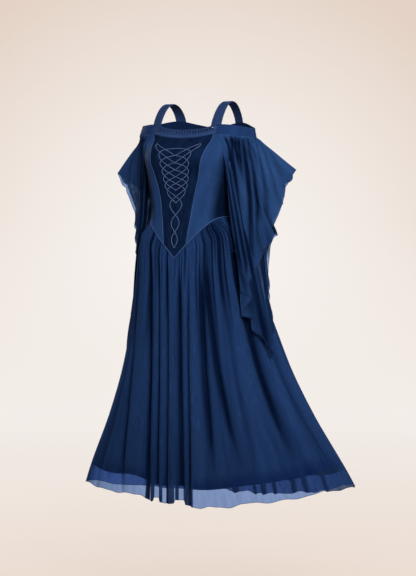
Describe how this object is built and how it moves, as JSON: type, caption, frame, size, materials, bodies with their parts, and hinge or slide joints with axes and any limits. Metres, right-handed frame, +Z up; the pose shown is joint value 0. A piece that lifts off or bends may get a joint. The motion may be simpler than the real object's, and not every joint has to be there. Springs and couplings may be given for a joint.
{
  "type": "victorian dress",
  "caption": "Full-length off-shoulder gown with shoulder straps, a pointed waist, a gathered skirt and loose angel sleeves, filled out as worn.",
  "frame": {"origin": "midway between the tops of the two shoulder straps, where the wearer's shoulders hold the gown up", "axes": "+Z up, -Y towards the front of the gown, +X towards the wearer's left"},
  "size_m": [1.0623, 0.6704, 1.4401],
  "materials": {
    "neck_band_satin": "satin weave",
    "openwork_trim_braid": "braided",
    "strap_left_braid": "braided",
    "strap_right_braid": "braided",
    "centre_front_velvet": "velvet pile",
    "side_front_left_satin": "satin weave",
    "side_front_right_satin": "satin weave",
    "bodice_back_satin": "satin weave",
    "waist_piping_piping": "satin cord",
    "skirt_front_chiffon": "sheer chiffon",
    "skirt_back_chiffon": "sheer chiffon",
    "skirt_lining_front_lining": "plain weave",
    "skirt_lining_back_lining": "plain weave",
    "sleeve_left_chiffon": "sheer chiffon",
    "sleeve_right_chiffon": "sheer chiffon"
  },
  "bodies": {
    "root": {"neck_band": "neck_band_satin", "openwork_trim": "openwork_trim_braid", "strap_left": "strap_left_braid", "strap_right": "strap_right_braid", "centre_front": "centre_front_velvet", "side_front_left": "side_front_left_satin", "side_front_right": "side_front_right_satin", "bodice_back": "bodice_back_satin", "waist_piping": "waist_piping_piping", "skirt_front": "skirt_front_chiffon", "skirt_back": "skirt_back_chiffon", "skirt_lining_front": "skirt_lining_front_lining", "skirt_lining_back": "skirt_lining_back_lining", "sleeve_left": "sleeve_left_chiffon", "sleeve_right": "sleeve_right_chiffon"}
  },
  "joints": []
}
